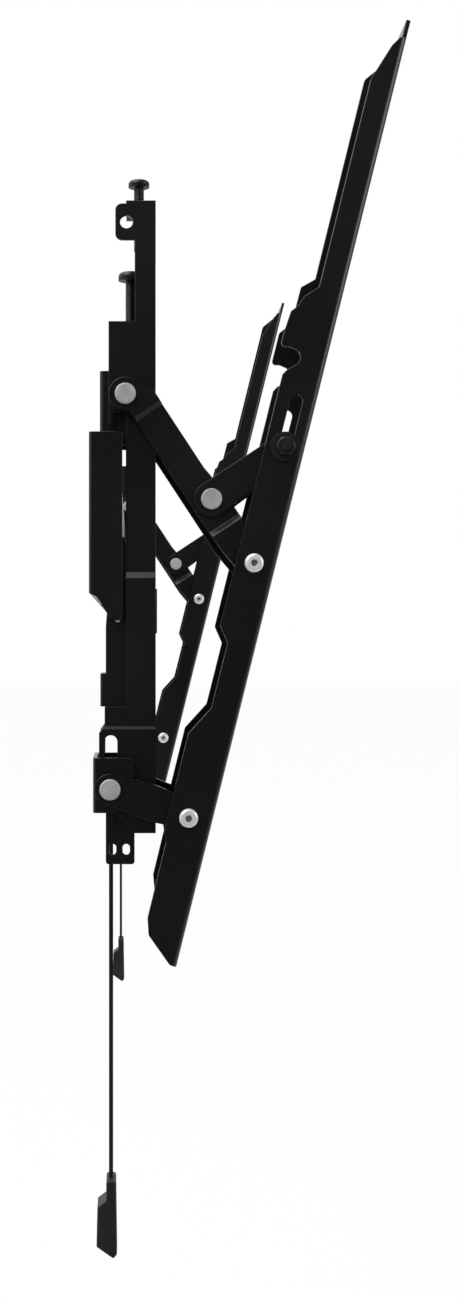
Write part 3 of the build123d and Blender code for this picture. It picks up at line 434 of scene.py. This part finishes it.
black_nylon = moulded(
    "grained_black_nylon",
    dark=(0.006, 0.006, 0.0065),
    pale=(0.011, 0.011, 0.0118),
    roughness=0.42,
    grain_size=1800.0,
    depth=0.00005,
)
black_rubber = moulded(
    "matt_rubber",
    dark=(0.006, 0.006, 0.006),
    pale=(0.012, 0.012, 0.012),
    roughness=0.75,
    grain_size=900.0,
    depth=0.0002,
)
print("made two moulded finishes")

# %% [markdown]
# ## Braided cord
#
# The pull cord is a thin braid. Its strands cross on a slant, so two sets of
# slanting bands, one each way, are added together. The bands stay fixed to the
# cord's object, which hangs straight down, so they cross it evenly from end to end.

# %% Mix the braid
STRAND_SLANT = 0.7
STRAND_SCALE = 320.0


def braid(name, dark, pale):
    """Two crossing sets of slanting bands."""
    material, shader, place = new_finish(name)
    bands = {"wave_type": "BANDS", "bands_direction": "Z"}
    sets = []
    for slant in (STRAND_SLANT, -STRAND_SLANT):
        turn = {"Vector": place, "Rotation": (slant, slant, 0)}
        wave = {"Vector": place.node("ShaderNodeMapping", {}, turn), "Scale": STRAND_SCALE}
        sets.append(place.node("ShaderNodeTexWave", bands, wave, "Fac"))
    strands = (sets[0] + sets[1]) * 0.5
    feed(shader, Base_Color=strands.blend(dark, pale))
    feed(shader, Roughness=0.6 + strands * 0.2)
    feed(shader, Normal=strands.bump(0.5, 0.0002))
    shader.inputs["Specular IOR Level"].default_value = 0.2
    return material


cord_braid = braid(
    "black_braid", dark=(0.002, 0.002, 0.0022), pale=(0.009, 0.009, 0.0095)
)
print("made", cord_braid.name)

# %% [markdown]
# ## Every metal piece gets its finish
#
# The model already names the slot that each piece takes its finish from. One loop
# hands them out.

# %% Hand out the finishes
finish_of_slot = {
    "black_coat": black_coat,
    "bright_steel": bright_steel,
    "grey_steel": grey_steel,
    "dark_steel": dark_steel,
    "spring_steel": spring_steel,
    "black_nylon": black_nylon,
    "black_rubber": black_rubber,
    "cord_braid": cord_braid,
}


def paint(mesh, node):
    """Give a mesh the finish of a node's slot, and nothing else."""
    mesh.materials.clear()
    mesh.materials.append(finish_of_slot[slot_of_node[node]])


for node, piece in frame["nodes"].items():
    paint(piece.data, node)
print("finished", len(frame["nodes"]), "metal pieces")

# %% [markdown]
# ## Four helpers for finer pieces
#
# The pieces that follow are finer copies of the model's own. Each starts as a copy
# whose loose triangles are merged and whose flat faces are joined. Its modifiers
# are turned into a plain mesh, and it then takes over from the node it copies: it
# rides the same body and keeps the same slot.

# %% Helpers for finer pieces
MERGE_DISTANCE = 0.000002
FLAT_ANGLE = radians(0.6)


def clean_copy(node, name):
    """A copy of a metal piece with merged corners and joined flat faces."""
    mesh = frame["nodes"][node].data.copy()
    mesh.name = name
    sheet = bmesh.new()
    sheet.from_mesh(mesh)
    bmesh.ops.remove_doubles(sheet, verts=sheet.verts, dist=MERGE_DISTANCE)
    bmesh.ops.dissolve_limit(
        sheet, angle_limit=FLAT_ANGLE, verts=sheet.verts, edges=sheet.edges
    )
    sheet.to_mesh(mesh)
    sheet.free()
    piece = bpy.data.objects.new(name, mesh)
    scene.collection.objects.link(piece)
    return piece


def shade_smooth(mesh):
    for polygon in mesh.polygons:
        polygon.use_smooth = True


def settle(piece):
    """Turn a piece's modifiers into a plain mesh."""
    bpy.context.view_layer.update()
    seen_piece = piece.evaluated_get(bpy.context.evaluated_depsgraph_get())
    plain = bpy.data.meshes.new_from_object(seen_piece)
    piece.modifiers.clear()
    piece.data = plain


def take_over(piece, node):
    """Let a piece ride its node's body and replace the node."""
    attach(piece, body_of_node[node])
    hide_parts(node)


print("piece helpers ready")

# %% [markdown]
# ## Rounded sheet edges
#
# Punched and coated sheet has no knife edges: the powder builds a small radius of a
# fifth of a millimetre, and that radius is what catches the light as a thin pale
# line. The model's edges are sharp, so a Bevel modifier rounds them on a copy of
# each large piece. Weighted normals keep the flats flat.

# %% Round the edges of the sheet pieces
SHEET_RADIUS = 0.00022
SHARP_ANGLE = radians(32)
ROUNDING_STEPS = 2
PLATE_PIECES = ("wall_plate", "front_rail", "bottom_straps")
SHEET_PIECES = (
    "wall_side_bracket",
    "screen_bracket",
    "hanger",
    "lower_clevis",
    "catch",
    "upper_link_near",
    "upper_link_far",
    "tension_arms",
    "lower_link_near",
    "lower_link_far",
)


def rounded(node, radius):
    """A metal piece again, with every sharp edge rounded."""
    piece = clean_copy(node, node + "_rounded")
    shade_smooth(piece.data)
    bevel = piece.modifiers.new("rounding", "BEVEL")
    bevel.width = radius
    bevel.segments = ROUNDING_STEPS
    bevel.limit_method = "ANGLE"
    bevel.angle_limit = SHARP_ANGLE
    bevel.use_clamp_overlap = False
    normals = piece.modifiers.new("flat_faces", "WEIGHTED_NORMAL")
    normals.keep_sharp = True
    settle(piece)
    paint(piece.data, node)
    take_over(piece, node)
    return piece


for name in PLATE_PIECES:
    rounded(name, SHEET_RADIUS)
for side in ACROSS:
    for name in SHEET_PIECES:
        rounded(side + "_" + name, SHEET_RADIUS)
print("rounded", len(PLATE_PIECES) + 2 * len(SHEET_PIECES), "sheet pieces")

# %% [markdown]
# ## Cut threads from one node tree
#
# A thread is one ridge that winds round a core, so a spiral curve with a small
# four-sided profile makes it, and a plain cylinder makes the core. One Geometry
# Nodes tree does both, with its sizes as named inputs, and both upright screws of
# each bracket use it. The tree ends by turning instances into real faces, because
# an exported file has no instances.

# %% Build the thread tree
SPIRAL_STEPS = 20
PROFILE_SIDES = 4
CORE_SIDES = 28
THREAD_INPUTS = (
    ("Head", "NodeSocketGeometry"),
    ("Foot", "NodeSocketVector"),
    ("Length", "NodeSocketFloat"),
    ("Core Radius", "NodeSocketFloat"),
    ("Ridge Height", "NodeSocketFloat"),
    ("Pitch", "NodeSocketFloat"),
)


def thread_tree(material):
    """A tree that adds a threaded shank, standing along Z, to the mesh it is given."""
    tree = bpy.data.node_groups.new("threaded_shank", "GeometryNodeTree")
    for name, kind in THREAD_INPUTS:
        tree.interface.new_socket(name, in_out="INPUT", socket_type=kind)
    tree.interface.new_socket("Screw", in_out="OUTPUT", socket_type="NodeSocketGeometry")
    nodes, links = tree.nodes, tree.links
    given = nodes.new("NodeGroupInput")
    turns = nodes.new("ShaderNodeMath")
    turns.operation = "DIVIDE"
    links.new(given.outputs["Length"], turns.inputs[0])
    links.new(given.outputs["Pitch"], turns.inputs[1])
    spiral = nodes.new("GeometryNodeCurveSpiral")
    spiral.inputs["Resolution"].default_value = SPIRAL_STEPS
    links.new(turns.outputs[0], spiral.inputs["Rotations"])
    links.new(given.outputs["Core Radius"], spiral.inputs["Start Radius"])
    links.new(given.outputs["Core Radius"], spiral.inputs["End Radius"])
    links.new(given.outputs["Length"], spiral.inputs["Height"])
    profile = nodes.new("GeometryNodeCurvePrimitiveCircle")
    profile.inputs["Resolution"].default_value = PROFILE_SIDES
    links.new(given.outputs["Ridge Height"], profile.inputs["Radius"])
    ridge = nodes.new("GeometryNodeCurveToMesh")
    ridge.inputs["Fill Caps"].default_value = True
    links.new(spiral.outputs["Curve"], ridge.inputs["Curve"])
    links.new(profile.outputs["Curve"], ridge.inputs["Profile Curve"])
    core = nodes.new("GeometryNodeMeshCylinder")
    core.inputs["Vertices"].default_value = CORE_SIDES
    links.new(given.outputs["Core Radius"], core.inputs["Radius"])
    links.new(given.outputs["Length"], core.inputs["Depth"])
    half = nodes.new("ShaderNodeMath")
    half.operation = "MULTIPLY"
    half.inputs[1].default_value = 0.5
    links.new(given.outputs["Length"], half.inputs[0])
    lift = nodes.new("ShaderNodeCombineXYZ")
    links.new(half.outputs[0], lift.inputs["Z"])
    stand = nodes.new("GeometryNodeTransform")
    links.new(core.outputs["Mesh"], stand.inputs["Geometry"])
    links.new(lift.outputs["Vector"], stand.inputs["Translation"])
    shank = nodes.new("GeometryNodeJoinGeometry")
    links.new(ridge.outputs["Mesh"], shank.inputs["Geometry"])
    links.new(stand.outputs["Geometry"], shank.inputs["Geometry"])
    move = nodes.new("GeometryNodeTransform")
    links.new(shank.outputs["Geometry"], move.inputs["Geometry"])
    links.new(given.outputs["Foot"], move.inputs["Translation"])
    whole = nodes.new("GeometryNodeJoinGeometry")
    links.new(given.outputs["Head"], whole.inputs["Geometry"])
    links.new(move.outputs["Geometry"], whole.inputs["Geometry"])
    real = nodes.new("GeometryNodeRealizeInstances")
    links.new(whole.outputs["Geometry"], real.inputs["Geometry"])
    painted = nodes.new("GeometryNodeSetMaterial")
    painted.inputs["Material"].default_value = material
    links.new(real.outputs["Geometry"], painted.inputs["Geometry"])
    result = nodes.new("NodeGroupOutput")
    links.new(painted.outputs["Geometry"], result.inputs["Screw"])
    return tree


screw_tree = thread_tree(dark_steel)
print("thread tree with", len(screw_tree.nodes), "nodes")

# %% [markdown]
# ## The two upright screws of each bracket
#
# A short screw at the very top clamps the bracket, and a long one below it lifts
# the bracket on its hook. Their pan heads with cross recesses come from the metal
# model: a copy is cut off just under the head, and the thread tree grows a new
# shank below it. Real M5 screws have a pitch of 0.8 mm.

# %% Thread the upright screws
PITCH = 0.0008
CREST_RADIUS = 0.0025
RIDGE = 0.00026
CUT_GAP = 0.00002
TIP_GAP = 0.0002
HEAD_GAP = 0.0001
HEAD_BOTTOMS = {"top_screw": 0.1689, "height_screw": 0.1244}


def grow_thread(piece, sizes):
    """Run the thread tree on a piece, its inputs set by name, and keep the result."""
    modifier = piece.modifiers.new("thread", "NODES")
    modifier.node_group = screw_tree
    for socket in screw_tree.interface.items_tree:
        if socket.item_type == "SOCKET" and socket.name in sizes:
            modifier[socket.identifier] = sizes[socket.name]
    settle(piece)


def keep_beyond(piece, point, direction):
    """Cut a piece at a plane and keep the side that the direction points to."""
    cut = bmesh.new()
    cut.from_mesh(piece.data)
    everything = list(cut.verts) + list(cut.edges) + list(cut.faces)
    bmesh.ops.bisect_plane(
        cut, geom=everything, plane_co=point, plane_no=direction, clear_inner=True
    )
    open_edges = [edge for edge in cut.edges if edge.is_boundary]
    bmesh.ops.holes_fill(cut, edges=open_edges)
    cut.to_mesh(piece.data)
    cut.free()


def threaded_screw(node, head_bottom):
    """An upright screw: the model's own head over a threaded shank."""
    low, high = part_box(node)
    centre = (low + high) / 2
    piece = clean_copy(node, node + "_threaded")
    keep_beyond(piece, (centre.x, centre.y, head_bottom + CUT_GAP), (0, 0, 1))
    shank_foot = low.z + TIP_GAP
    sizes = {
        "Foot": (centre.x, centre.y, shank_foot),
        "Length": head_bottom - shank_foot - HEAD_GAP,
        "Core Radius": CREST_RADIUS - RIDGE,
        "Ridge Height": RIDGE,
        "Pitch": PITCH,
    }
    grow_thread(piece, sizes)
    take_over(piece, node)
    return piece


for side in ACROSS:
    for name, head_bottom in HEAD_BOTTOMS.items():
        screw = threaded_screw(side + "_" + name, head_bottom)
        print(side, len(screw.data.polygons), "faces")

# %% [markdown]
# ## Bolts, rivets and grips with soft rims
#
# The small turned parts keep the model's shapes and get a finer radius than the
# sheet. The moulded grips already have chamfered rims, so their radius is nearly as
# fine: a wide one would fold over those chamfers. The bolts are separate islands in
# one mesh, so each island's own box gives the axis round which its socket lies.

# %% Round the small parts
TURNED_RADIUS = 0.00012
GRIP_RADIUS = 0.00014
SOCKET_RADIUS = 0.0018
HEAD_HEIGHT = 0.0027
TURNED_PIECES = (
    "upper_pivot_rivets",
    "lower_pivot_rivets",
    "elbow_rivets",
    "tension_nuts",
    "tension_washers",
    "pivot_bolts",
)


def islands(mesh):
    """The separate pieces of a mesh, each as a set of corners."""
    waiting = set(mesh.verts)
    while waiting:
        island, front = set(), [waiting.pop()]
        while front:
            vertex = front.pop()
            island.add(vertex)
            for edge in vertex.link_edges:
                other = edge.other_vert(vertex)
                if other in waiting:
                    waiting.remove(other)
                    front.append(other)
        yield island


def in_socket(spot, axis, outer):
    """Whether a spot lies near a bolt's axis and no deeper than its head is high."""
    off_axis = (spot.y - axis.y) ** 2 + (spot.z - axis.z) ** 2
    return off_axis < SOCKET_RADIUS**2 and abs(spot.x - outer) < HEAD_HEIGHT


def mark_painted_socket_shade(piece, across):
    """Mark the faces of the bolts' sockets with a 1 for their painted shade, and all
    others with a 0.
    """
    bolts = bmesh.new()
    bolts.from_mesh(piece.data)
    painted_socket_shade = bolts.faces.layers.float.new("painted_socket_shade")
    count = 0
    for island in islands(bolts):
        rows = list(zip(*[vertex.co for vertex in island]))
        low, high = Vector(map(min, rows)), Vector(map(max, rows))
        axis = (low + high) / 2
        outer = max((low.x, high.x), key=lambda end: abs(end - across))
        for face in {face for vertex in island for face in vertex.link_faces}:
            inside = all(in_socket(vertex.co, axis, outer) for vertex in face.verts)
            face[painted_socket_shade] = float(inside)
            count += inside
    bolts.to_mesh(piece.data)
    bolts.free()
    return count


# The bolts' sockets are marked for the painted shade of their finish.
for side, across in ACROSS.items():
    for name in TURNED_PIECES:
        piece = rounded(side + "_" + name, TURNED_RADIUS)
        if name == "pivot_bolts":
            print(side, "sockets marked:", mark_painted_socket_shade(piece, across), "faces")
    rounded(side + "_pull_grip", GRIP_RADIUS)
print("rounded", 2 * len(TURNED_PIECES), "turned pieces and two grips")

# %% [markdown]
# ## Smooth coil springs
#
# Each catch is pushed up by a small coil spring. A rigid copy would poke through the
# catch when the cord is pulled. Here a smooth copy takes over from each spring, and
# the share of its height that it would keep when the catch comes down by its full
# travel is worked out and printed.

# %% Copy the springs
CATCH_TRAVEL = 0.008
for side in ACROSS:
    node = side + "_catch_spring"
    spring = clean_copy(node, side + "_coil_spring")
    shade_smooth(spring.data)
    paint(spring.data, node)
    take_over(spring, node)
    low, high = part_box(node)
    left_over = 1 - CATCH_TRAVEL / (high.z - low.z)
    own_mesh(spring)
    print(side, "spring keeps", round(left_over, 3), "of its height")

# %% [markdown]
# ## Hanging pull cords
#
# Each cord hangs straight from the catch's foot, because the grip on its end pulls
# it taut. A curve with a round bevel is the simplest true cord: its length and
# thickness stay plain numbers.

# %% Hang the cords
CORD_OUT = 0.0102
CORD_RADIUS = 0.001
CORD_HEIGHTS = (-0.1345, -0.168, -0.202, -0.236, -0.27, -0.303)
CORD_LENGTH = CORD_HEIGHTS[0] - CORD_HEIGHTS[-1]


def hanging_cord(side):
    """A straight round cord from the catch's foot down into its grip."""
    across = ACROSS[side]
    curve = bpy.data.curves.new(side + "_braided_cord", "CURVE")
    curve.dimensions = "3D"
    curve.bevel_depth = CORD_RADIUS
    curve.bevel_resolution = 4
    curve.use_fill_caps = True
    spline = curve.splines.new("NURBS")
    spline.points.add(len(CORD_HEIGHTS) - 1)
    for point, height in zip(spline.points, CORD_HEIGHTS):
        point.co = (across, -CORD_OUT, height, 1)
    spline.order_u = 3
    spline.use_endpoint_u = True
    spline.resolution_u = 6
    curve.materials.append(cord_braid)
    cord = bpy.data.objects.new(side + "_braided_cord", curve)
    scene.collection.objects.link(cord)
    take_over(cord, side + "_pull_cord")
    return cord


for side in ACROSS:
    print(hanging_cord(side).name, round(CORD_LENGTH, 4), "m")
